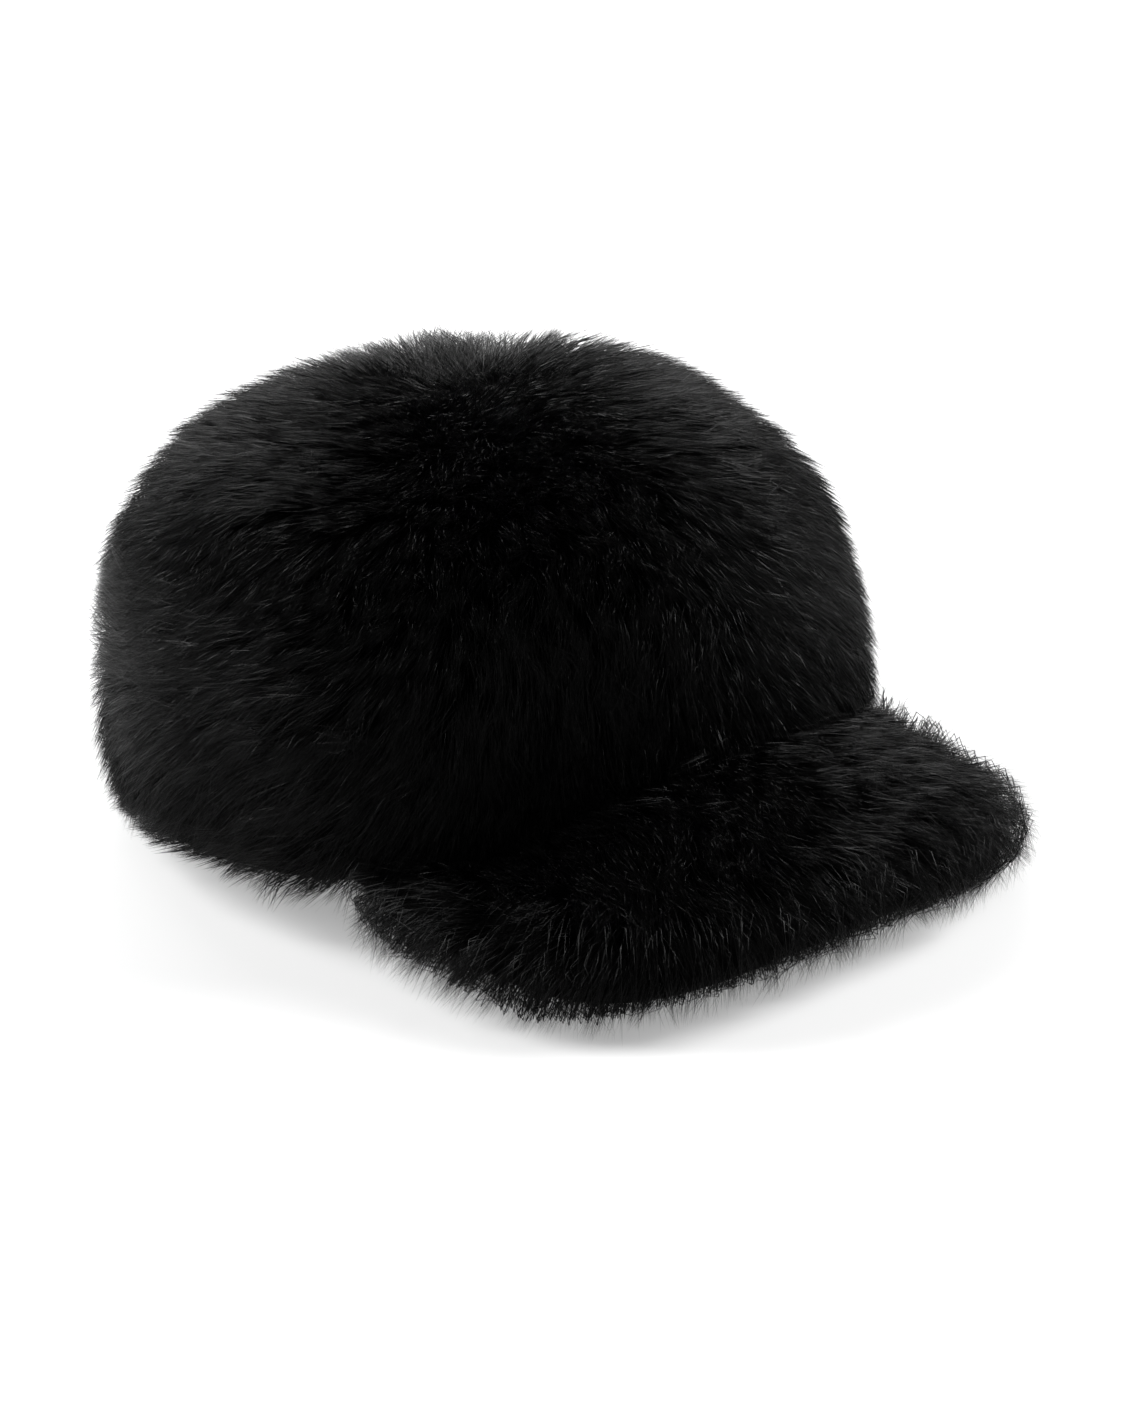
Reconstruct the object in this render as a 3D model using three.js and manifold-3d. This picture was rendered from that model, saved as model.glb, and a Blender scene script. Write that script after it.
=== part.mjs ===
// Fur peaked cap: a crown of six fur panels and a short fur-covered peak, lying on a table.
// Millimetres, +Z up. The peak points toward -Y and the wearer's left is +X. The cap rests on
// z = 0 on the back of its hem and the front corners of its peak, and the origin is the middle of
// its footprint.
import * as THREE from 'three';
import { mergeVertices } from 'three/addons/utils/BufferGeometryUtils.js';
import Module from 'manifold-3d';

const wasm = await Module();
wasm.setup();

// Head hollow, inside the backing cloth
const HEAD_WIDTH = 184; // across the widest part, side to side
const HEAD_LENGTH = 202; // along the widest part, front to back
const CROWN_HEIGHT = 110; // table under the back of the hem to the inside of the top
const WIDEST_HEIGHT = 29; // the same to the widest part
const HEM_TUCK = 0.035; // share of the half width that the hem draws in
const FULLNESS = 2.43; // 2 is a plain dome, more is squarer at the shoulder

// Cloth and fur
const BACKING = 2.5; // woven backing of the fur fabric
const UNDERFUR = 11; // dense pile above the backing
const PILE = 15.5; // tips of the outer locks above the backing
const SEAM_DIP = 3; // the pile lies lower along a seam
const SEAM_REACH = 12; // how far to each side of a seam it does
const HEM_HANG = 6; // underfur below the backing's hem
const REST_PRESS = 2.7; // pile pressed flat where the cap rests on the table
const GAP = 0.3; // between neighbouring pieces

// How the cap lies
const FRONT_LIFT = 30; // front of the hem above its back
const FRONT_ARCH = 15; // the hem rises this much more over the middle of the peak
const ARCH_POWER = 1.3; // 1 is a plain cosine, more is narrower

// Peak
const JOINT_ANGLE = 70; // degrees from the front centre to where the peak's side starts
const PEAK_LENGTH = 46; // front centre of the crown's backing to the seam along the peak's edge
const PEAK_SQUARENESS = 3.9; // of its outline, 2 is a plain ellipse
const EDGE_ARCH = 8; // the edge's front centre stands this much above its corners
const PEAK_CROWNING = 4; // the middle of the peak's slope stands proud of a straight slope
const PEAK_UNDERFUR = 11; // dense pile above the middle of the peak
const PEAK_PILE = 15.5; // tips of its locks
const JOINT_PRESS = 0.12; // share of the pile left under the crown's fur at the sides of the joint
const START_PRESS = 0.55; // share of the pile left where the side of the peak starts
const START_REACH = 28; // the pile is full this far ahead of there

// Locks
const LOCK_LENGTH = 42;
const LOCK_WIDTH = 29;
const LOCK_THICKNESS = 7;
const LOCK_PITCH = 28; // between rows, and between the locks of a row
const TIP_DROP = 5; // tips of the lowest row below the backing's hem
const PEAK_LOCK_LENGTH = 30;

// Panels of the crown in turn from the front centre toward the wearer's left
const PANELS = ['front_left', 'side_left', 'back_left', 'back_right', 'side_right', 'front_right'];
const PANEL_SPAN = 360 / PANELS.length;

// Sections along one lock, root to tip: how far along it, how broad and thick it is, and how high
// its flat underside stands, as shares of the lock's length, width, thickness and of the pile
const LOCK_SECTIONS = [
  { along: 0.0, broad: 0.5, thick: 0.5, high: 0.15 },
  { along: 0.42, broad: 1.0, thick: 1.0, high: 0.5 },
  { along: 0.76, broad: 0.72, thick: 0.6, high: 0.72 },
];

const UP = new THREE.Vector3(0, 0, 1);
const rad = THREE.MathUtils.degToRad;
const mix = THREE.MathUtils.lerp;
const smooth = THREE.MathUtils.smoothstep;

// How much single locks differ from the regular, as shares of their spacing and length
const SCATTER = { place: 0.1, sway: 0.2, length: 0.1 };

// A repeatable number between -1 and 1 for a lock's count and one of its traits
const TRAITS = ['place', 'sway', 'length'];
function wander(count, trait) {
  const big = Math.sin(count * 12.9898 + TRAITS.indexOf(trait) * 78.233 + 4.1) * 43758.5453;
  return SCATTER[trait] * (2 * (big - Math.floor(big)) - 1);
}

// Turns a point of the upright cap to the way it lies, pivoting at the back of the hem
const backFoot = new THREE.Vector3(0, HEAD_LENGTH / 2 + BACKING + UNDERFUR, 0);
const lieAngle = -Math.asin(FRONT_LIFT / (HEAD_LENGTH + 2 * (BACKING + UNDERFUR)));
const lieAxis = new THREE.Vector3(1, 0, 0);
function lie(point) {
  return point.sub(backFoot).applyAxisAngle(lieAxis, lieAngle).add(backFoot);
}

// Angle from the front centre, -180 to 180
function fromFront(angle) {
  return ((angle + 180) % 360 + 360) % 360 - 180;
}

// Height of the backing's hem at an angle
function hemHeight(angle) {
  const turn = Math.abs(fromFront(angle)) / JOINT_ANGLE;
  return HEM_HANG - REST_PRESS + (turn < 1 ? FRONT_ARCH * Math.cos(turn * Math.PI / 2) ** ARCH_POWER : 0);
}

// A point of the crown. Angle is in degrees from the front centre toward the wearer's left, down
// runs from 0 at the top to 1 at the hem and on below it, and out is measured from the hollow.
const WIDEST_DOWN = 0.78;
function crownPoint(angle, down, out) {
  let height;
  let share;
  if (down < WIDEST_DOWN) {
    const turn = (1 - Math.max(down, 0) / WIDEST_DOWN) * Math.PI / 2;
    const rise = CROWN_HEIGHT + out - WIDEST_HEIGHT;
    height = WIDEST_HEIGHT + rise * Math.sin(turn) ** (2 / FULLNESS);
    share = Math.cos(turn) ** (2 / FULLNESS);
  } else {
    height = mix(WIDEST_HEIGHT, hemHeight(angle), (down - WIDEST_DOWN) / (1 - WIDEST_DOWN));
    share = 1 - HEM_TUCK * ((WIDEST_HEIGHT - height) / WIDEST_HEIGHT) ** 2;
  }
  return lie(new THREE.Vector3(
    (HEAD_WIDTH / 2 + out) * share * Math.sin(rad(angle)),
    -(HEAD_LENGTH / 2 + out) * share * Math.cos(rad(angle)),
    height,
  ));
}

// How far the pile lies down beside the nearest seam
function seamDip(angle, down) {
  const turn = Math.abs(fromFront(angle * PANELS.length)) / PANELS.length;
  const width = Math.sin(Math.min(down / WIDEST_DOWN, 1) * Math.PI / 2) * HEAD_WIDTH / 2;
  return SEAM_DIP * Math.exp(-((rad(turn) * width / SEAM_REACH) ** 2));
}

// A closed solid from a geometry
function solid(geometry) {
  geometry.deleteAttribute('normal');
  geometry.deleteAttribute('uv');
  const merged = mergeVertices(geometry, 1e-4);
  const corners = merged.index.array;
  const kept = [];
  for (let i = 0; i < corners.length; i += 3) {
    const [a, b, c] = [corners[i], corners[i + 1], corners[i + 2]];
    if (a !== b && b !== c && c !== a) kept.push(a, b, c);
  }
  return new wasm.Manifold(new wasm.Mesh({
    numProp: 3,
    vertProperties: new Float32Array(merged.attributes.position.array),
    triVerts: new Uint32Array(kept),
  }));
}

// A closed solid through rings of points. Each ring is closed, and seen from the first ring's side
// its points run counterclockwise. Where the rings don't close on the first, fans cap the ends.
function loft(rings, closesOnFirst = false) {
  const around = rings[0].length;
  const spots = rings.flat().flatMap((p) => [p.x, p.y, p.z]);
  const faces = [];
  const spans = closesOnFirst ? rings.length : rings.length - 1;
  for (let i = 0; i < spans; i += 1) {
    for (let k = 0; k < around; k += 1) {
      const a = i * around + k;
      const b = i * around + (k + 1) % around;
      const c = (i + 1) % rings.length * around + k;
      const d = (i + 1) % rings.length * around + (k + 1) % around;
      faces.push(a, b, c, b, d, c);
    }
  }
  if (!closesOnFirst) {
    const last = (rings.length - 1) * around;
    for (let k = 1; k < around - 1; k += 1) faces.push(0, k + 1, k, last, last + k, last + k + 1);
  }
  const geometry = new THREE.BufferGeometry();
  geometry.setAttribute('position', new THREE.Float32BufferAttribute(spots, 3));
  geometry.setIndex(faces);
  return solid(geometry);
}

// One lock of fur along a path: path(mm, high) gives the point that far from the root and that
// share of the pile high, and side(mm) the direction across the lock there
function lock(path, side, size) {
  const grow = size.grow ?? 0;
  const rings = LOCK_SECTIONS.map((section) => {
    const mm = section.along * size.length;
    const middle = path(mm, section.high);
    const across = side(mm).multiplyScalar(section.broad * size.width / 2 + grow);
    const out = path(mm, section.high + 0.1).sub(middle).normalize();
    const under = middle.clone().addScaledVector(out, -grow);
    return [
      under.clone().add(across),
      middle.clone().addScaledVector(out, section.thick * size.thickness + grow),
      under.clone().sub(across),
    ];
  });
  const tip = path(size.length + grow, 1);
  rings.push(rings[0].map(() => tip.clone()));
  return loft(rings);
}

// The crown's shell: backing and underfur, open below
const CROWN_STEPS = 30;
const OUTER_ROWS = 8;
const INNER_ROWS = 7;
const HEM_ROLL = [0.3, 0.7, 1.0]; // shares of the way round the underfur's lower edge
function crownShell() {
  const rings = [];
  for (let i = 0; i < CROWN_STEPS; i += 1) {
    const angle = i * 360 / CROWN_STEPS;
    const ring = [];
    for (let row = 0; row <= OUTER_ROWS; row += 1) {
      const down = row / OUTER_ROWS;
      ring.push(crownPoint(angle, down, BACKING + UNDERFUR - seamDip(angle, down)));
    }
    for (const share of HEM_ROLL) {
      const turn = share * Math.PI;
      const out = BACKING + UNDERFUR * (1 + Math.cos(turn)) / 2;
      const point = crownPoint(angle, 1, out);
      point.z -= HEM_HANG * Math.sin(turn);
      ring.push(point);
    }
    for (let row = INNER_ROWS; row >= 0; row -= 1) {
      ring.push(crownPoint(angle, row / INNER_ROWS, 0));
    }
    rings.push(ring);
  }
  return loft(rings, true);
}

// Length of the crown's outside from the top to the hem
function fallLength() {
  let length = 0;
  const steps = 40;
  for (let i = 0; i < steps; i += 1) {
    length += crownPoint(90, i / steps, PILE).distanceTo(crownPoint(90, (i + 1) / steps, PILE));
  }
  return length;
}

// Rows of locks from the top down. Every panel has as many, spread between its seams, and rows take
// turns at one more and one less, so that a lock lies over the gap between the two above it.
const FIRST_ROW = 0.01; // start of the top row, as a share of the fall from the top to the hem
function crownLocks() {
  const fall = fallLength();
  const lowest = 1 + (TIP_DROP - LOCK_LENGTH) / fall;
  const rows = Math.round(fall * lowest / LOCK_PITCH) + 1;
  const locks = [];
  let count = 0;
  for (let row = 0; row < rows; row += 1) {
    const start = mix(FIRST_ROW, lowest, row / (rows - 1));
    const middle = crownPoint(90, start + LOCK_LENGTH / 2 / fall, PILE);
    const panelWidth = rad(PANEL_SPAN) * (middle.x + (HEAD_LENGTH - HEAD_WIDTH) / 4);
    const number = Math.max(1, Math.round(panelWidth / LOCK_PITCH + (row % 2 ? 0.25 : -0.25)));
    for (let i = 0; i < number * PANELS.length; i += 1) {
      count += 1;
      const spacing = PANEL_SPAN / number;
      const angle = (i + 0.5 + wander(count, 'place')) * spacing;
      const sway = wander(count, 'sway') * spacing / LOCK_LENGTH;
      const at = (mm) => angle + sway * mm;
      const down = (mm) => start + mm / fall;
      const path = (mm, high) => crownPoint(
        at(mm), down(mm), BACKING + PILE * high - seamDip(at(mm), down(mm)),
      );
      const side = (mm) => crownPoint(at(mm) + 1, down(mm), PILE)
        .sub(crownPoint(at(mm) - 1, down(mm), PILE)).normalize();
      locks.push(lock(path, side, {
        length: LOCK_LENGTH * (1 + wander(count, 'length')),
        width: LOCK_WIDTH,
        thickness: LOCK_THICKNESS,
      }));
    }
  }
  return locks;
}

// The peak's joint with the crown, for across from -1 on the right side to 1 on the left
function jointPoint(across) {
  return crownPoint(across * JOINT_ANGLE, 1, BACKING + GAP);
}

// The seam along the peak's free edge. Its corners stand on their pressed pile.
function edgePoint(across) {
  const corner = jointPoint(1);
  const front = jointPoint(0).y - PEAK_LENGTH;
  const turn = across * Math.PI / 2;
  const power = 2 / PEAK_SQUARENESS;
  const resting = PEAK_PILE - REST_PRESS + EDGE_ARCH * Math.cos(turn) ** 4;
  return new THREE.Vector3(
    corner.x * Math.sign(across) * Math.abs(Math.sin(turn)) ** power,
    mix(corner.y, front, Math.max(Math.cos(turn), 0) ** power),
    mix(resting, corner.z, Math.abs(across) ** 6),
  );
}

// The level direction that points out of the edge
function edgeOut(across) {
  const step = 1e-3;
  const a = edgePoint(Math.max(across - step, -1));
  const b = edgePoint(Math.min(across + step, 1));
  return new THREE.Vector3(b.y - a.y, a.x - b.x, 0).normalize();
}

// The middle of the peak's thickness, for flat from 0 at the joint to 1 at the edge
function middlePoint(across, flat) {
  const point = jointPoint(across).lerp(edgePoint(across), flat);
  point.z += PEAK_CROWNING * 4 * flat * (1 - flat) * Math.cos(across * Math.PI / 2);
  return point;
}

// A point of the peak's fur. Travel runs from the joint at 0 over the top to the edge at 1, round
// the edge to 2, and back under the peak to the joint at 3. The pile lies low at the sides, where
// the crown's fur presses on it.
const PRESS_FROM = 0.3;
const PRESS_TO = 0.85;
function peakPoint(across, travel, out) {
  const edge = edgePoint(across);
  const ahead = jointPoint(1).y - edge.y;
  const atEdge = out * mix(START_PRESS, 1, smooth(ahead, 0, START_REACH));
  if (travel > 1 && travel < 2) {
    const turn = (1.5 - travel) * Math.PI;
    return edge.addScaledVector(edgeOut(across), atEdge * Math.cos(turn))
      .addScaledVector(UP, atEdge * Math.sin(turn));
  }
  if (travel >= 2) return middlePoint(across, 3 - travel).addScaledVector(UP, -atEdge);
  const atJoint = out * mix(1, JOINT_PRESS, smooth(Math.abs(across), PRESS_FROM, PRESS_TO));
  return middlePoint(across, travel)
    .addScaledVector(UP, mix(atJoint, atEdge, smooth(travel, 0, 1)));
}

// The peak's top or under cover, closed along the middle of the peak's thickness
const PEAK_STEPS = 20;
const FLAT_ROWS = 3;
const ROLL_ROWS = 2;
function peakCover(isTop, grow = 0) {
  const travels = [];
  for (let i = 0; i <= FLAT_ROWS; i += 1) travels.push(i / FLAT_ROWS);
  for (let i = 1; i <= ROLL_ROWS; i += 1) travels.push(1 + i / ROLL_ROWS / 2);
  const apart = isTop ? GAP / 2 - grow : grow - GAP / 2;
  const rings = [];
  for (let i = 0; i <= PEAK_STEPS; i += 1) {
    const across = -1 + 2 * i / PEAK_STEPS;
    const ring = travels.map(
      (travel) => peakPoint(across, isTop ? travel : 3 - travel, PEAK_UNDERFUR + grow),
    );
    ring[ring.length - 1].z += apart;
    for (let row = FLAT_ROWS; row >= 0; row -= 1) {
      ring.push(middlePoint(across, row / FLAT_ROWS).addScaledVector(UP, apart));
    }
    rings.push(isTop ? ring : ring.reverse());
  }
  return loft(rings);
}

// Rows of locks on the peak: where each starts, and how many lie across it
const TOP_ROWS = [
  { start: 0.1, number: 5, reach: 0.5 },
  { start: 0.5, number: 8, reach: 0.74 },
  { start: 0.9, number: 12, reach: 0.93 },
];
const UNDER_ROWS = [
  { start: 1.55, number: 11, reach: 0.91 },
  { start: 2.1, number: 7, reach: 0.7 },
];
const TRAVEL_STEP = 0.02;
const TRAVEL_END = 3 - TRAVEL_STEP;
function peakLocks(rows, grow = 0) {
  const locks = [];
  let count = 0;
  for (const row of rows) {
    for (let i = 0; i < row.number; i += 1) {
      count += 1;
      const across = row.reach * (-1 + 2 * (i + wander(count, 'place')) / (row.number - 1));
      const walk = (mm) => {
        let travel = row.start;
        let left = mm;
        let here = peakPoint(across, travel, PEAK_PILE);
        while (left > 0 && travel < TRAVEL_END) {
          travel += TRAVEL_STEP;
          const next = peakPoint(across, travel, PEAK_PILE);
          left -= next.distanceTo(here);
          here = next;
        }
        return Math.min(travel, TRAVEL_END);
      };
      const path = (mm, high) => peakPoint(across, walk(mm), PEAK_PILE * high);
      const side = (mm) => peakPoint(across + TRAVEL_STEP, walk(mm), PEAK_PILE)
        .sub(peakPoint(across - TRAVEL_STEP, walk(mm), PEAK_PILE)).normalize();
      locks.push(lock(path, side, {
        length: PEAK_LOCK_LENGTH * (1 + wander(count, 'length')),
        width: LOCK_WIDTH,
        thickness: LOCK_THICKNESS,
        grow,
      }));
    }
  }
  return locks;
}

// The wedge between two seams, leaving half the gap at each
function seamWedge(from, to) {
  const reach = 3 * HEAD_LENGTH;
  const toward = (angle) => new THREE.Vector2(
    HEAD_WIDTH / HEAD_LENGTH * Math.sin(rad(angle)), -Math.cos(rad(angle)),
  );
  const [a, b, c] = [toward(from), toward((from + to) / 2), toward(to)];
  const half = Math.acos(a.clone().normalize().dot(c.clone().normalize())) / 2;
  const apex = a.clone().normalize().add(c.clone().normalize()).normalize()
    .multiplyScalar(GAP / 2 / Math.sin(half));
  const outline = new THREE.Shape([
    apex,
    ...[a, b, c].map((p) => p.clone().multiplyScalar(reach).add(apex)),
  ]);
  const depth = 3 * CROWN_HEIGHT;
  const geometry = new THREE.ExtrudeGeometry(outline, { depth, bevelEnabled: false });
  geometry.translate(0, 0, -CROWN_HEIGHT);
  const spots = geometry.attributes.position;
  for (let i = 0; i < spots.count; i += 1) {
    const point = lie(new THREE.Vector3().fromBufferAttribute(spots, i));
    spots.setXYZ(i, point.x, point.y, point.z);
  }
  return solid(geometry);
}

// Everything above the table
function roomAboveTable() {
  const size = 4 * HEAD_LENGTH;
  const geometry = new THREE.BoxGeometry(size, size, size);
  geometry.translate(0, 0, size / 2);
  return solid(geometry);
}

// The biggest connected piece, without scraps of locks that a cut parted
function mainPiece(shape) {
  return shape.decompose().reduce((a, b) => (b.volume() > a.volume() ? b : a));
}

const join = (shapes) => shapes.reduce((a, b) => a.add(b));
const topCover = (grow) => join([peakCover(true, grow), ...peakLocks(TOP_ROWS, grow)]);
const underCover = (grow) => join([peakCover(false, grow), ...peakLocks(UNDER_ROWS, grow)]);

const room = roomAboveTable();
const topRoom = topCover(GAP);
const crown = join([crownShell(), ...crownLocks()])
  .intersect(room).subtract(topRoom).subtract(underCover(GAP));

const pieces = PANELS.map((panel, i) => ({
  name: `crown_panel_${panel}`,
  shape: crown.intersect(seamWedge(i * PANEL_SPAN, (i + 1) * PANEL_SPAN)),
}));
pieces.push({ name: 'peak_top_cover', shape: topCover(0).intersect(room) });
pieces.push({
  name: 'peak_under_cover',
  shape: underCover(0).subtract(topRoom).intersect(room),
});

// Glossy near-black fur
const fur = { color: 0x0c0c0d, roughness: 0.75, metalness: 0 };

const cap = new THREE.Group();
for (const piece of pieces) {
  const mesh = mainPiece(piece.shape).getMesh();
  const geometry = new THREE.BufferGeometry();
  geometry.setAttribute('position', new THREE.BufferAttribute(mesh.vertProperties, 3));
  geometry.setIndex(new THREE.BufferAttribute(mesh.triVerts, 1));
  const node = new THREE.Mesh(geometry, new THREE.MeshStandardMaterial(fur));
  node.name = piece.name;
  cap.add(node);
}

// The origin is the middle of the footprint
const box = new THREE.Box3().setFromObject(cap, true);
const middle = box.getCenter(new THREE.Vector3());
cap.position.set(-middle.x, -middle.y, -box.min.z);

export default cap;
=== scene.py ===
"""Fur peaked cap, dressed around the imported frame: six fur panels of the crown with their backing
cloth, and the two fur covers of a short peak. Shapes are worked out in millimetres and made in
metres. +Z is up, the peak points toward -Y, the wearer's left is +X, and z = 0 is the table."""
import math

import bpy
import numpy as np
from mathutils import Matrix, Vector
from mathutils.kdtree import KDTree


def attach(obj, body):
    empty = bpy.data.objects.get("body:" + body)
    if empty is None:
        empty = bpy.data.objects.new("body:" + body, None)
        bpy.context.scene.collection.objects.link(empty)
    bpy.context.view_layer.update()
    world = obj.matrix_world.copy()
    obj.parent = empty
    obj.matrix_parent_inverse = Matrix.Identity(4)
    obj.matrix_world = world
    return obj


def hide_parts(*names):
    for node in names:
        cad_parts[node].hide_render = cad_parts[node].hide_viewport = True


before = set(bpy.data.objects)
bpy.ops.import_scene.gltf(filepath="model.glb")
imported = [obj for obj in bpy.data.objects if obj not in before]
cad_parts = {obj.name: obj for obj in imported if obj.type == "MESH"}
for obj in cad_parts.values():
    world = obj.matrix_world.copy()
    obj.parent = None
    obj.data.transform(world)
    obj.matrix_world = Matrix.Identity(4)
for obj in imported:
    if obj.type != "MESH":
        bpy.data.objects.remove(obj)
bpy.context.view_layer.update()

MM = 0.001

# The crown and how it lies, in millimetres. Sizes are as in the part's source, apart from the seams'
# dip, which is 3 there, and below them the underfur's depth and how far tips go below the hem
HEAD_WIDTH = 184
HEAD_LENGTH = 202
CROWN_HEIGHT = 110
WIDEST_HEIGHT = 29
WIDEST_DOWN = 0.78
HEM_TUCK = 0.035
FULLNESS = 2.43
BACKING = 2.5
PILE = 15.5
SEAM_DIP = 1.2
SEAM_REACH = 12
HEM_HANG = 6
REST_PRESS = 2.7
GAP = 0.3
FRONT_LIFT = 30
FRONT_ARCH = 15
ARCH_POWER = 1.3
CAD_UNDERFUR = 11  # the solids' underfur, on which the cap's lie depends
PANELS = ["front_left", "side_left", "back_left", "back_right", "side_right", "front_right"]
PANEL_SPAN = 360 / len(PANELS)

# The peak
JOINT_ANGLE = 70
PEAK_LENGTH = 46
PEAK_SQUARENESS = 3.9
MIDDLE_EASE = 0.1  # keeps the pile from parting at the middle of the edge
EDGE_ARCH = 8
PEAK_CROWNING = 4
JOINT_PRESS = 0.12
START_PRESS = 0.55
START_REACH = 28

# Where the crown's centre lies in the row's frame
CENTRE = np.array([0.080, 19.113, 0.0])

# The fur
UNDERFUR = 9.0  # dense wool above the backing
ROOT_DEPTH = 2.0  # hairs start this far inside it
CLUMP_AREA = 45.0  # square millimetres
TIP_DROP = 1.5  # tips below the hem
ROLL = 0.2  # share of the wool's rows that go round the hem
ROLL_TURN = 0.9  # how far round it they go, in half turns
ROLL_DROP = 0.55  # how low they hang there, as a share of the underfur
WOOL_WALL = 4.5
PEAK_WALL = 3.0
CLOTH_WALL = 2.0
CLOTH_INSET = 0.2  # the backing cloth lies this far inside the solids' backing
# Fine hairs are straight and make the body of the pile. Guard hairs stand over them and bend.
# Length and the radius at the root are in millimetres. Height is where the tips stand, as a share
# of the pile, and ragged is its scatter. Stray is the scatter of the lie, in radians, and bends
# is how many straight stretches a hair has.
FINE = {"length": 19.0, "radius": 0.13, "height": 1.16, "ragged": 0.08, "stray": 0.16, "bends": 1}
GUARD = {"length": 23.0, "radius": 0.165, "height": 1.24, "ragged": 0.1, "stray": 0.2, "bends": 2}
CROWN_HAIRS = (112000, 26000)  # fine and guard hairs
TOP_HAIRS = (20000, 5000)
UNDER_HAIRS = (15000, 4000)
# Where the pile is ruffled and stands open, or is brushed flat: degrees from the front centre,
# share of the way down, how far that reaches each way, and how upright (+) or flat (-) it is
RUFFLES = [(-32, 0.36, 28, 0.2, 1.2), (-72, 0.33, 20, 0.045, 0.8),
           (-78, 0.52, 26, 0.06, 0.7), (-112, 0.42, 14, 0.04, 0.7), (-108, 0.82, 20, 0.05, 0.7),
           (-98, 0.24, 30, 0.09, 0.8), (-52, 0.56, 12, 0.1, 0.6),
           (30, 0.86, 22, 0.06, 0.5), (-70, 0.76, 30, 0.09, -1.0), (24, 0.5, 20, 0.24, -1.0),
           (-124, 0.58, 16, 0.2, -0.8), (80, 0.6, 24, 0.1, 0.7), (112, 0.38, 22, 0.07, 0.8),
           (150, 0.62, 24, 0.08, 0.8), (-152, 0.36, 24, 0.08, 0.7), (178, 0.85, 26, 0.06, 0.6)]
STANDING = 11.0  # how far a hair runs over the skin where the pile stands
SHORTEST = 6.0  # the least that any hair runs
CROWN_RUN = 125  # about the way over the skin from the top of the crown to its hem
PEAK_RUN = 40  # and from the peak's joint to its edge
CORNER_REACH = 14  # hairs run this much farther beside the peak's corners, and over these degrees
TAPER = 0.35  # how much thinner a guard hair is at its bend
TUFT_STRAY = 1.8  # how much more than a single hair a tuft strays
TUFT_PULL = 0.5  # share of the way that a tip is drawn to its tuft's
PULL_SPREAD = 0.2
MOST_PULL = 0.85
TUFT_TONE = 0.35  # share of a hair's tone that it has from its tuft
FLOOR_LIE = 0.35  # hairs pressed on the table lie at least this high
FLOOR_SPREAD = 2.2  # and up to this much higher
FLOOR_CLEAR = 0.05  # the least height of anything of a hair
SKIN_CELLS = 120  # cells each way where hairs are spread over a skin
SKIN_MAP = "OFBake"  # across: a hair's tone in the left half; up: from root to tip
HAIR_STRIP = 0.006  # a hair's width on that map
WOOL_FROM = 0.53  # where the wool starts across it
WOOL_ACROSS = 0.46

# The camera's view and the lights round it
VIEW_AZIMUTH = math.radians(-43.0)
VIEW_ELEVATION = math.radians(23.1)
FRAME = (1122, 1402)  # pixels
# Metres to the right of, beyond and above the cap as the camera sees it, width, height, watts
LAMPS = [("left_box", -1.9, 0.6, 1.2, (1.2, 1.5), 115), ("right_box", 1.9, 0.6, 1.2, (1.2, 1.5), 125),
         ("back_box", -0.3, 2.0, 1.2, (2.0, 1.2), 50), ("front_box", -0.5, -1.9, 1.3, (1.2, 1.0), 10)]

picks = None  # the random numbers, seeded anew by hairs() for each stretch of skin


def unit(v):
    return v / np.maximum(np.linalg.norm(v, axis=-1, keepdims=True), 1e-9)


def smooth(x, low, high):
    t = np.clip((x - low) / (high - low), 0, 1)
    return t * t * (3 - 2 * t)


def mix(a, b, t):
    return a + (b - a) * t


def from_front(angle):
    """Angle from the front centre, -180 to 180."""
    return (angle + 180) % 360 - 180


BACK_FOOT = HEAD_LENGTH / 2 + BACKING + CAD_UNDERFUR
LIE_ANGLE = -math.asin(FRONT_LIFT / (HEAD_LENGTH + 2 * (BACKING + CAD_UNDERFUR)))


def lie(x, y, z):
    """Points of the upright cap, turned to the way it lies and moved to the row's frame."""
    back, c, s = y - BACK_FOOT, math.cos(LIE_ANGLE), math.sin(LIE_ANGLE)
    return np.stack([x, BACK_FOOT + back * c - z * s, back * s + z * c], -1) + CENTRE


def hem_height(angle):
    turn = np.abs(from_front(angle)) / JOINT_ANGLE
    arch = np.cos(np.minimum(turn, 1) * math.pi / 2).clip(0) ** ARCH_POWER
    return HEM_HANG - REST_PRESS + FRONT_ARCH * arch


def crown_point(angle, down, out):
    """A point of the crown: degrees from the front centre toward the wearer's left, 0 at the top
    to 1 at the hem and on below it, and millimetres out from the head's hollow."""
    angle, down, out = np.broadcast_arrays(*(np.asarray(a, float) for a in (angle, down, out)))
    angle, down = np.where(down < 0, angle + 180, angle), np.abs(down)
    turn = (1 - np.clip(down, 0, WIDEST_DOWN) / WIDEST_DOWN) * math.pi / 2
    rise = CROWN_HEIGHT + out - WIDEST_HEIGHT
    high = WIDEST_HEIGHT + rise * np.sin(turn).clip(0) ** (2 / FULLNESS)
    low = mix(WIDEST_HEIGHT, hem_height(angle), (down - WIDEST_DOWN) / (1 - WIDEST_DOWN))
    dome = np.cos(turn).clip(0) ** (2 / FULLNESS)
    side = 1 - HEM_TUCK * ((WIDEST_HEIGHT - low) / WIDEST_HEIGHT) ** 2
    upper = down < WIDEST_DOWN
    height, share = np.where(upper, high, low), np.where(upper, dome, side)
    a = np.radians(angle)
    return lie((HEAD_WIDTH / 2 + out) * share * np.sin(a),
               -(HEAD_LENGTH / 2 + out) * share * np.cos(a), height)


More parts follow.
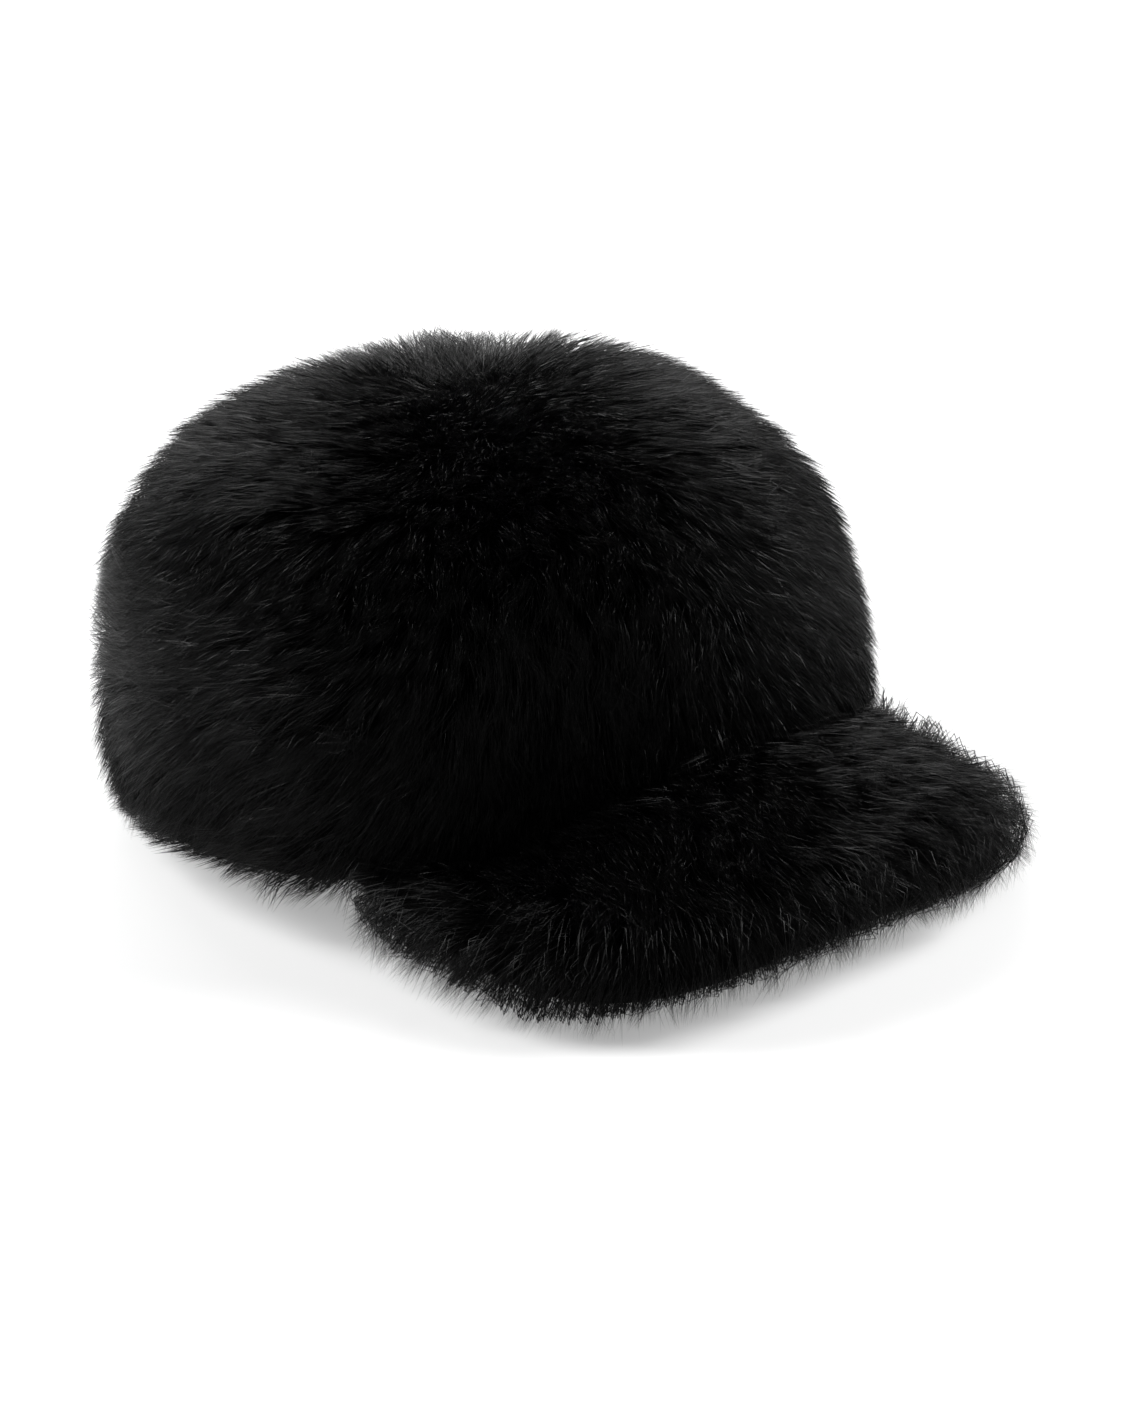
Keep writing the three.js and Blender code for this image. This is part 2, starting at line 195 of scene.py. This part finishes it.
def seam_dip(angle, down):
    """How far the pile lies down beside the nearest seam."""
    turn = np.abs(from_front(angle * len(PANELS))) / len(PANELS)
    width = np.sin(np.clip(down / WIDEST_DOWN, 0, 1) * math.pi / 2) * HEAD_WIDTH / 2
    return SEAM_DIP * np.exp(-((np.radians(turn) * width / SEAM_REACH) ** 2))


def crown_skin(angle, down, height):
    """The crown at a height above its backing."""
    return crown_point(angle, down, BACKING + height - seam_dip(angle, down) * height / PILE)


def joint_point(across):
    return crown_point(across * JOINT_ANGLE, 1, BACKING + GAP)


def edge_point(across):
    """The seam along the peak's free edge."""
    corner, front = joint_point(1.0), joint_point(0.0)[1] - PEAK_LENGTH
    turn, power = across * math.pi / 2, 2 / PEAK_SQUARENESS
    aside = np.sin(turn) * (np.sin(turn) ** 2 + MIDDLE_EASE ** 2) ** (power / 2 - 0.5)
    resting = PILE - REST_PRESS + EDGE_ARCH * np.cos(turn).clip(0) ** 4
    return np.stack([
        CENTRE[0] + (corner[0] - CENTRE[0]) * aside,
        mix(corner[1], front, np.cos(turn).clip(0) ** power),
        mix(resting, corner[2], np.abs(across) ** 6),
    ], -1)


def peak_skin(across, travel, height):
    """The peak's fur. Travel runs from the joint at 0 over the top to the edge at 1, round it to
    2 and back under the peak to the joint at 3."""
    across, travel, height = np.broadcast_arrays(
        *(np.asarray(a, float) for a in (across, travel, height)))
    across = across.clip(-1, 1)
    edge, up = edge_point(across), np.array([0.0, 0.0, 1.0])
    a, b = edge_point((across - 1e-3).clip(-1)), edge_point((across + 1e-3).clip(None, 1))
    level = unit(np.stack([b[..., 1] - a[..., 1], a[..., 0] - b[..., 0], 0 * across], -1))
    ahead = joint_point(1.0)[1] - edge[..., 1]
    at_edge = height * mix(START_PRESS, 1, smooth(ahead, 0, START_REACH))
    at_joint = height * mix(1, JOINT_PRESS, smooth(np.abs(across), 0.3, 0.85))

    def middle(flat):
        crowning = PEAK_CROWNING * 4 * flat * (1 - flat) * np.cos(across * math.pi / 2)
        return mix(joint_point(across), edge, flat[..., None]) + crowning[..., None] * up

    above = middle(travel.clip(0, 1)) + mix(at_joint, at_edge, smooth(travel, 0, 1))[..., None] * up
    below = middle((3 - travel).clip(0, 1)) - at_edge[..., None] * up
    turn = (1.5 - travel.clip(1, 2)) * math.pi
    round_it = edge + (at_edge * np.cos(turn))[..., None] * level
    round_it = round_it + (at_edge * np.sin(turn))[..., None] * up
    travel = travel[..., None]
    return np.where(travel <= 1, above, np.where(travel >= 2, below, round_it))


def waves(points, size, seed):
    """A soft random field between about -1 and 1 that changes over this many millimetres."""
    own = np.random.default_rng(seed)
    ways = unit(own.normal(size=(9, 3))) * 2 * math.pi / size * own.uniform(0.6, 1.3, (9, 1))
    return np.sin(points @ ways.T + own.uniform(0, 2 * math.pi, 9)).mean(-1) * 2


def cell_areas(skin, u_line, v_line):
    """Square millimetres of pile between the lines of a grid over a skin."""
    grid = skin(u_line[:, None], v_line[None], PILE)
    sides = np.cross(grid[1:, :-1] - grid[:-1, :-1], grid[:-1, 1:] - grid[:-1, :-1])
    return np.linalg.norm(sides, axis=-1)


def scattered(skin, u_span, v_span, count):
    """Places spread evenly over a stretch of skin."""
    u_line, v_line = np.linspace(*u_span, SKIN_CELLS + 1), np.linspace(*v_span, SKIN_CELLS + 1)
    areas = cell_areas(skin, u_line, v_line).ravel()
    steps = (np.arange(count) + picks.random(count)) / count
    cell = np.searchsorted(np.cumsum(areas) / areas.sum(), steps).clip(0, len(areas) - 1)
    u = u_line[cell // SKIN_CELLS] + picks.random(count) * (u_line[1] - u_line[0])
    v = v_line[cell % SKIN_CELLS] + picks.random(count) * (v_line[1] - v_line[0])
    return u, v


def walked(skin, u, v, height, turn, length, nudge, steps=5):
    """Where a walk over the skin ends, turned off the lie of the pile by turn. Wide and deep are
    millimetres to one of u and of v, and stay above 0 at the crown's top."""
    for _ in range(steps):
        here = skin(u, v, height)
        wide = np.linalg.norm(skin(u + nudge[0], v, height) - here, axis=-1) / nudge[0]
        deep = np.linalg.norm(skin(u, v + nudge[1], height) - here, axis=-1) / nudge[1]
        u = u + length / steps * np.sin(turn) / np.maximum(wide, 0.15)
        v = v + length / steps * np.cos(turn) / np.maximum(deep, 1.0)
    return u, v


def paths(skin, u, v, turn, length, tip, bends, nudge):
    """Points along each hair: its root, a middle for a hair that bends, and its tip."""
    root_height = UNDERFUR - ROOT_DEPTH
    points = [skin(u, v, root_height)]
    for bend in range(1, bends + 1):
        share = bend / bends
        u, v = walked(skin, u, v, UNDERFUR, turn, length / bends, nudge)
        points.append(skin(u, v, mix(root_height, tip, share ** 0.8)))
    return np.stack(points, 1)


def crown_turn(u, v, here):
    """Which way the pile lies: down the crown, and away from the seam at the front centre."""
    side = from_front(u)
    off = np.abs(side)
    ruffle = np.sin(2 * math.pi * (v - 0.53) / 0.36 + 0.9 * waves(here, 110, 9))
    swept = (0.72 + 0.36 * ruffle) * smooth(off, 25, 85) * (1 - smooth(off, 130, 180))
    swept = swept * mix(0.35, 1, smooth(v, 0.2, 0.6))
    parted = 0.3 * smooth(off, 0, 10) * (1 - smooth(off, 10, 45))
    fan = np.sign(side) * (swept + parted) * smooth(v, 0.03, 0.35)
    swirl = (1 - smooth(v, 0.03, 0.14)) * 1.6 * waves(here, 26, 10)
    brushed = np.sign(side) * 0.55 * (-crown_stand(u, v, here)).clip(0) * smooth(off, 0, 25)
    return fan + swirl + brushed + 0.24 * waves(here, 70, 3) + 0.16 * waves(here, 24, 4)


def crown_stand(u, v, here):
    """How upright the pile stands, from -1 where it is brushed flat to 1."""
    stand = 0.5 * (1 - smooth(v, 0.05, 0.2)) + 0.45 * waves(here, 46, 12)
    for angle, down, wide, deep, upright in RUFFLES:
        stand = stand + upright * np.exp(-(from_front(u - angle) / wide) ** 2
                                         - ((v - down) / deep) ** 2)
    return stand.clip(-1, 1)


def crown_lift(u, v):
    """Share of the pile that its tips stand above their usual height."""
    return 0.07 * smooth(np.abs(from_front(u)), 90, 130) + 0.02 * (1 - smooth(v, 0.1, 0.4))


def crown_reach(u, v):
    """How far a hair may run: to a little below the hem, or to the groove over the peak."""
    off = np.abs(from_front(u))
    corner = np.exp(-((off - JOINT_ANGLE - 2) / CORNER_REACH) ** 2)
    over_peak = smooth(JOINT_ANGLE - off, 0, 30)
    return (1 - v) * CROWN_RUN + mix(TIP_DROP, 1.0, over_peak) + CORNER_REACH * corner


def peak_turn(u, v, here):
    """Which way the peak's pile lies: ahead, and fanned out toward the corners."""
    fan = 0.7 * np.sign(u) * smooth(np.abs(u), 0.25, 1) * (1 - smooth(v, 1.2, 2))
    return fan + 0.2 * waves(here, 45, 5) + 0.14 * waves(here, 18, 6)


def peak_stand(u, v, here):
    """As on the crown. On the peak the pile lies nearly flat everywhere."""
    return (-0.45 + 0.35 * waves(here, 34, 14)).clip(-1, 1)


def peak_lift(u, v):
    """The pile bushes out round the corners of the edge and is pressed flat underneath."""
    corner = smooth(np.abs(u), 0.3, 0.6) * smooth(v, 0.6, 1.0) * (1 - smooth(v, 1.5, 1.9))
    front = 1 - smooth(np.abs(u), 0.35, 0.7)
    return 0.5 * corner - 0.1 * front * smooth(v, 0.9, 1.4) - 0.42 * smooth(v, 1.05, 1.5)


def peak_reach(u, v):
    """How far a hair may run: as far as the joint under the peak."""
    return (3 - v) * PEAK_RUN


def hairs(skin, turn_of, stand_of, lift_of, reach_of, u_span, v_span, counts, nudge, seed):
    """The hairs of a stretch of skin, a set for each kind: the kind, points along each hair in
    millimetres, its tone, and the u of its root. Hairs are drawn toward the tuft they stand in."""
    global picks
    picks = np.random.default_rng(seed)
    lines = (np.linspace(*span, SKIN_CELLS // 2 + 1) for span in (u_span, v_span))
    clumps = int(cell_areas(skin, *lines).sum() / CLUMP_AREA)
    cu, cv = scattered(skin, u_span, v_span, clumps)
    middle = skin(cu, cv, UNDERFUR)
    tree = KDTree(clumps)
    for i, at in enumerate(middle):
        tree.insert(at, i)
    tree.balance()
    clump_tone = picks.random(clumps)

    def shaped(kind, u, v, here, spread):
        n = len(u)
        turn = turn_of(u, v, here) + picks.normal(0, kind["stray"] * spread, n)
        stand = stand_of(u, v, here)
        length = mix(kind["length"] * (1 - 0.15 * stand), STANDING, stand.clip(0))
        length = length * (1 + 0.12 * waves(here, 35, 7) + picks.normal(0, 0.12, n))
        length = np.maximum(np.minimum(length, reach_of(u, v) + picks.uniform(0, 3, n)), SHORTEST)
        turn = np.where(v < 0.04, turn + picks.uniform(-2.5, 2.5, n), turn)
        lift = 0.08 * stand.clip(0) + 0.08 * waves(here, 42, 8)
        lift = lift + picks.normal(0, kind["ragged"], n)
        tip = PILE * (kind["height"] + lift).clip(UNDERFUR / PILE + 0.06, 1.45)
        tip = np.maximum(tip + PILE * lift_of(u, v), UNDERFUR + 1)
        return paths(skin, u, v, turn, length, tip, kind["bends"], nudge)

    sets = []
    for kind, count in zip((FINE, GUARD), counts):
        u, v = scattered(skin, u_span, v_span, count)
        here = skin(u, v, UNDERFUR)
        owner = np.array([tree.find(at)[1] for at in here])
        own = shaped(kind, u, v, here, 1.0)
        guide = shaped(kind, cu, cv, middle, TUFT_STRAY)[owner]
        pull = np.clip(picks.normal(TUFT_PULL, PULL_SPREAD, count), 0, MOST_PULL)
        for bend in range(1, kind["bends"] + 1):
            share = (bend / kind["bends"]) ** 1.5
            own[:, bend] += (guide[:, bend] - own[:, bend]) * pull[:, None] * share
        lowest = FLOOR_LIE + picks.uniform(0, FLOOR_SPREAD, (count, kind["bends"] + 1))
        own[..., 2] = np.maximum(own[..., 2], lowest)
        tone = TUFT_TONE * clump_tone[owner] + (1 - TUFT_TONE) * picks.random(count)
        sets.append((kind, own, tone, u))
    return sets


def strand_mesh(name, kind, lines, tone):
    """A mesh of closed three-sided spikes along the hairs."""
    count, bends = len(lines), kind["bends"]
    ring = np.arange(3)
    after = (ring + 1) % 3
    turn = ring * 2 * math.pi / 3
    aim = unit(lines[:, -1] - lines[:, 0])
    across = unit(np.cross(aim, unit(picks.normal(size=(count, 3)))))
    other = np.cross(aim, across)
    spoke = across[:, None] * np.cos(turn)[:, None] + other[:, None] * np.sin(turn)[:, None]
    thick = kind["radius"] * picks.uniform(0.75, 1.2, count)[:, None, None]
    spots, faces, sizes, maps = [], [], [], []
    for row in range(bends):
        spots.append(lines[:, row, None] + thick * (1 - TAPER * row / bends) * spoke)
        low, high = row / bends, (row + 1) / bends
        if row < bends - 1:
            faces.append(np.stack([ring, after, after + 3, ring + 3], 1).ravel() + 3 * row)
            sizes += [4, 4, 4]
            maps += [c for k in range(3) for c in ((k, low), (k + 1, low), (k + 1, high), (k, high))]
        else:
            tip = np.full(3, 3 * bends)
            faces.append(np.stack([ring + 3 * row, after + 3 * row, tip], 1).ravel())
            sizes += [3, 3, 3]
            maps += [c for k in range(3) for c in ((k, low), (k + 1, low), (k + 0.5, high))]
    faces.append(np.array([0, 2, 1]))
    sizes.append(3)
    maps += [(0, 0), (1, 0), (0.5, 0.01)]
    spots.append(lines[:, -1, None])
    corners = np.concatenate(spots, 1)
    corners[..., 2] = np.maximum(corners[..., 2], FLOOR_CLEAR)

    one, maps = np.concatenate(faces), np.array(maps, float)
    loops = (one[None] + np.arange(count)[:, None] * (3 * bends + 1)).ravel()
    sizes = np.tile(sizes, count)
    places = np.stack([
        (tone[:, None] * (0.5 - HAIR_STRIP) + maps[None, :, 0] / 3 * HAIR_STRIP).ravel(),
        np.tile(maps[:, 1], count),
    ], 1)
    mesh = bpy.data.meshes.new(name)
    mesh.vertices.add(corners.size // 3)
    mesh.vertices.foreach_set("co", (corners * MM).astype(np.float32).ravel())
    mesh.loops.add(len(loops))
    mesh.loops.foreach_set("vertex_index", loops.astype(np.int32))
    mesh.polygons.add(len(sizes))
    starts = np.concatenate([[0], np.cumsum(sizes)[:-1]])
    mesh.polygons.foreach_set("loop_start", starts.astype(np.int32))
    mesh.polygons.foreach_set("loop_total", sizes.astype(np.int32))
    mesh.polygons.foreach_set("use_smooth", np.ones(len(sizes), bool))
    layer = mesh.uv_layers.new(name=SKIN_MAP)
    layer.uv.foreach_set("vector", places.astype(np.float32).ravel())
    mesh.update(calc_edges=True)
    strands = bpy.data.objects.new(name, mesh)
    strands.data.materials.append(black_hair)
    bpy.context.collection.objects.link(strands)
    return strands


def only(piece):
    """Makes this piece the active one and the only one selected."""
    bpy.ops.object.select_all(action="DESELECT")
    piece.select_set(True)
    bpy.context.view_layer.objects.active = piece


def bent_cloth(name, place, rows, columns, thickness):
    """A grid bent to a shape, closed to a wall that grows inward from it, as the grid's faces
    point inward at first. place(across, along) takes shares from 0 to 1."""
    bpy.ops.object.select_all(action="DESELECT")
    bpy.ops.mesh.primitive_grid_add(x_subdivisions=columns, y_subdivisions=rows, size=1)
    piece = bpy.context.object
    piece.name = piece.data.name = name
    flat = np.empty(len(piece.data.vertices) * 3, np.float32)
    piece.data.vertices.foreach_get("co", flat)
    flat = flat.reshape(-1, 3).astype(float) + 0.5
    spots = place(flat[:, 0], flat[:, 1])
    spots[:, 2] = np.maximum(spots[:, 2], 0)
    piece.data.vertices.foreach_set("co", (spots * MM).astype(np.float32).ravel())
    piece.data.update()
    bpy.ops.object.mode_set(mode="EDIT")
    bpy.ops.mesh.select_all(action="SELECT")
    bpy.ops.mesh.remove_doubles(threshold=1e-5)
    bpy.ops.object.mode_set(mode="OBJECT")
    wall = piece.modifiers.new("wall", "SOLIDIFY")
    wall.thickness, wall.offset = thickness * MM, 1
    bpy.ops.object.modifier_apply(modifier="wall")
    bpy.ops.object.mode_set(mode="EDIT")
    bpy.ops.mesh.select_all(action="SELECT")
    bpy.ops.mesh.normals_make_consistent(inside=False)
    bpy.ops.object.mode_set(mode="OBJECT")
    for corner in piece.data.vertices:
        corner.co.z = max(corner.co.z, 0.0)
    bpy.ops.object.shade_smooth()
    layer = piece.data.uv_layers[0]
    layer.name = SKIN_MAP
    spread = np.empty(len(piece.data.loops) * 2, np.float32)
    layer.uv.foreach_get("vector", spread)
    spread = spread.reshape(-1, 2)
    spread[:, 0] = WOOL_FROM + WOOL_ACROSS * spread[:, 0]
    layer.uv.foreach_set("vector", spread.ravel())
    return piece


class Value:
    """A number or colour over the surface, with Python's arithmetic."""

    def __init__(self, finish, socket):
        self.finish, self.socket = finish, socket

    def math(self, operation, first, second):
        return self.finish.node("ShaderNodeMath", {"operation": operation}, [first, second])

    def __add__(self, other):
        return self.math("ADD", self, other)

    def __sub__(self, other):
        return self.math("SUBTRACT", self, other)

    def __mul__(self, other):
        return self.math("MULTIPLY", self, other)

    def __rsub__(self, other):
        return self.math("SUBTRACT", other, self)

    __radd__ = __add__


class Finish:
    """A material whose nodes are made by expressions."""

    def __init__(self, name, **constants):
        self.material = bpy.data.materials.new(name)
        self.material.use_nodes = True
        self.nodes = self.material.node_tree.nodes
        self.shader = self.nodes["Principled BSDF"]
        for socket, value in constants.items():
            self.shader.inputs[socket.replace("_", " ")].default_value = value

    def node(self, kind, settings=(), inputs=(), output=0):
        """Adds a node. Its settings come first, then the values or links of its sockets."""
        node = self.nodes.new(kind)
        for key, value in dict(settings).items():
            if key == "stops":
                ramp = node.color_ramp.elements
                while len(ramp) < len(value):
                    ramp.new(0.5)
                for stop, (at, colour) in zip(ramp, value):
                    stop.position, stop.color = at, (*colour, 1)
            else:
                setattr(node, key, value)
        named = inputs if isinstance(inputs, dict) else dict(enumerate(inputs))
        for key, value in named.items():
            self.feed(node.inputs[key], value)
        return Value(self, node.outputs[output])

    def feed(self, socket, value):
        if isinstance(value, Value):
            self.material.node_tree.links.new(value.socket, socket)
        else:
            socket.default_value = value

    def drive(self, **values):
        for socket, value in values.items():
            self.feed(self.shader.inputs[socket.replace("_", " ")], value)
        return self.material


def grey(level):
    return (level, level, level * 1.04)


def hair_finish():
    """Glossy near-black hair, matt at the root, with a few paler ones."""
    f = Finish("black_hair", Specular_IOR_Level=0.09)
    place = f.node("ShaderNodeUVMap", {"uv_map": SKIN_MAP})
    tone = f.node("ShaderNodeSeparateXYZ", (), [place], "X") * 2
    along = f.node("ShaderNodeSeparateXYZ", (), [place], "Y")
    shade = tone * 0.82 + along * 0.18
    colour = f.node("ShaderNodeValToRGB", {"stops": [
        (0.0, grey(0.0002)), (0.7, grey(0.0006)), (0.93, grey(0.003)),
        (1.0, (0.045, 0.04, 0.036))]}, [shade])
    return f.drive(Base_Color=colour, Roughness=0.45 - along * 0.04 - tone * 0.28)


def wool_finish():
    """The dark wool between the roots."""
    f = Finish("dark_underfur", Specular_IOR_Level=0.02)
    place = f.node("ShaderNodeTexCoord", (), (), "Object")
    tufts = f.node("ShaderNodeTexNoise", (), {"Vector": place, "Scale": 420.0, "Detail": 4.0}, "Fac")
    colour = f.node("ShaderNodeValToRGB", {"stops": [
        (0.3, grey(0.0001)), (0.7, grey(0.0005))]}, [tufts])
    bump = f.node("ShaderNodeBump", (), {"Height": tufts, "Distance": 0.002, "Strength": 0.8})
    return f.drive(Base_Color=colour, Roughness=0.7 + tufts * 0.2, Normal=bump)


def backing_finish():
    """Plain woven backing, threads about two millimetres apart."""
    f = Finish("backing_weave", Specular_IOR_Level=0.3)
    place = f.node("ShaderNodeTexCoord", (), (), "Object")
    across = f.node("ShaderNodeTexWave", {"bands_direction": "X"},
                    {"Vector": place, "Scale": 160.0, "Distortion": 0.6}, "Fac")
    down = f.node("ShaderNodeTexWave", {"bands_direction": "Z"},
                  {"Vector": place, "Scale": 160.0, "Distortion": 0.6}, "Fac")
    weave = across * down
    colour = f.node("ShaderNodeValToRGB", {"stops": [
        (0.0, grey(0.008)), (1.0, grey(0.03))]}, [weave])
    bump = f.node("ShaderNodeBump", (), {"Height": weave, "Distance": 0.0006, "Strength": 0.6})
    return f.drive(Base_Color=colour, Roughness=0.75 + weave * 0.15, Normal=bump)


def view_ways():
    """Level directions to the camera's right and away from it."""
    return (Vector((math.cos(VIEW_AZIMUTH), math.sin(VIEW_AZIMUTH), 0)),
            Vector((-math.sin(VIEW_AZIMUTH), math.cos(VIEW_AZIMUTH), 0)))


def camera():
    """The photograph's view."""
    distance, scale = 1.361, 3308  # metres, and pixels to a metre at the crown's centre
    shows_at = (494.4, 816.5)  # the pixel where the crown's centre on the table shows
    right, _ = view_ways()
    back = Vector((math.sin(VIEW_AZIMUTH) * math.cos(VIEW_ELEVATION),
                   -math.cos(VIEW_AZIMUTH) * math.cos(VIEW_ELEVATION), math.sin(VIEW_ELEVATION)))
    up = back.cross(right)
    centre = Vector(CENTRE) * MM
    aim = right * (FRAME[0] / 2 - shows_at[0]) + up * (shows_at[1] - FRAME[1] / 2)
    bpy.ops.object.select_all(action="DESELECT")
    bpy.ops.object.camera_add(location=centre + back * distance)
    view = bpy.context.object
    view.rotation_euler = (aim - back * distance * scale).to_track_quat("-Z", "Y").to_euler()
    view.data.lens = distance * scale / FRAME[1] * view.data.sensor_width
    bpy.context.scene.camera = view


def softbox(name, place, size, power):
    bpy.ops.object.select_all(action="DESELECT")
    bpy.ops.object.light_add(type="AREA", location=place)
    lamp = bpy.context.object
    lamp.name = name
    lamp.data.shape, lamp.data.size, lamp.data.size_y = "RECTANGLE", *size
    lamp.data.energy = power
    target = Vector((0, 0, 0.06))
    lamp.rotation_euler = (target - Vector(place)).to_track_quat("-Z", "Y").to_euler()


def studio():
    """A plain white table under soft light."""
    world = bpy.data.worlds.new("studio")
    bpy.context.scene.world = world
    world.use_nodes = True
    world.node_tree.nodes["Background"].inputs["Color"].default_value = (1, 1, 1, 1)
    world.node_tree.nodes["Background"].inputs["Strength"].default_value = 0.06
    bpy.ops.object.select_all(action="DESELECT")
    bpy.ops.mesh.primitive_plane_add(size=12)
    table = bpy.context.object
    table.name = "table_top"
    f = Finish("white_table", Base_Color=(0.45, 0.45, 0.45, 1), Roughness=0.9,
               Emission_Color=(1, 1, 1, 1), Emission_Strength=0.33)
    table.data.materials.append(f.material)
    right, away = view_ways()
    for name, aside, beyond, above, size, power in LAMPS:
        softbox(name, right * aside + away * beyond + Vector((0, 0, above)), size, power)
    bpy.context.scene.view_settings.view_transform = "Standard"


camera()
studio()
black_hair, dark_underfur, backing_weave = hair_finish(), wool_finish(), backing_finish()


def dressed(name, wool, sets, node):
    """Joins hairs to the wool that they stand in."""
    wool.data.materials.append(dark_underfur)
    strands = [strand_mesh(name + "_hairs", kind, lines, tone) for kind, lines, tone, *_ in sets]
    only(wool)
    for hair in strands:
        hair.select_set(True)
    bpy.ops.object.join()
    wool.name = wool.data.name = name
    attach(wool, "root")
    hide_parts(node)


crown_sets = hairs(crown_skin, crown_turn, crown_stand, crown_lift, crown_reach,
                   (0.0, 360.0), (0.0, 1.02), CROWN_HAIRS, nudge=(0.5, 0.005), seed=20)
for i, panel in enumerate(PANELS):
    first = i * PANEL_SPAN

    def wool_place(across, along):
        angle = first + across * PANEL_SPAN
        down = np.minimum(along / (1 - ROLL), 1)
        turn = ((along - (1 - ROLL)) / ROLL).clip(0, 1) * math.pi * ROLL_TURN
        spots = crown_skin(angle, down, UNDERFUR * (1 + np.cos(turn)) / 2)
        spots[:, 2] -= UNDERFUR * ROLL_DROP * np.sin(turn)
        return spots

    def cloth_place(across, along):
        return crown_point(first + across * PANEL_SPAN, along, BACKING - CLOTH_INSET)

    node = "crown_panel_" + panel
    wool = bent_cloth(node + "_wool", wool_place, rows=40, columns=20, thickness=WOOL_WALL)
    own_sets = []
    for kind, lines, tone, angle in crown_sets:
        rooted = (angle >= first) & (angle < first + PANEL_SPAN)
        own_sets.append((kind, lines[rooted], tone[rooted]))
    dressed("fur_" + panel, wool, own_sets, node)
    cloth = bent_cloth("backing_" + panel, cloth_place, rows=30, columns=16, thickness=CLOTH_WALL)
    cloth.data.materials.append(backing_weave)
    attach(cloth, "root")
    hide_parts(node)

WOOL_END, HAIR_END = 0.99, 0.985  # how near the corners the peak's wool and its hairs come
HALF_WAY = 1.5  # the travel from the joint to the middle of the peak's edge
for side, start, span, counts, seed in (("top", 0.0, (0.02, HALF_WAY), TOP_HAIRS, 40),
                                        ("under", HALF_WAY, (HALF_WAY, 2.98), UNDER_HAIRS, 41)):
    def peak_place(across, along):
        return peak_skin(mix(-WOOL_END, WOOL_END, across), start + along * HALF_WAY, UNDERFUR)

    wool = bent_cloth("peak_wool_" + side, peak_place, rows=30, columns=40, thickness=PEAK_WALL)
    sets = hairs(peak_skin, peak_turn, peak_stand, peak_lift, peak_reach,
                 (-HAIR_END, HAIR_END), span, counts, nudge=(0.004, 0.01), seed=seed)
    dressed(f"fur_peak_{side}", wool, sets, f"peak_{side}_cover")
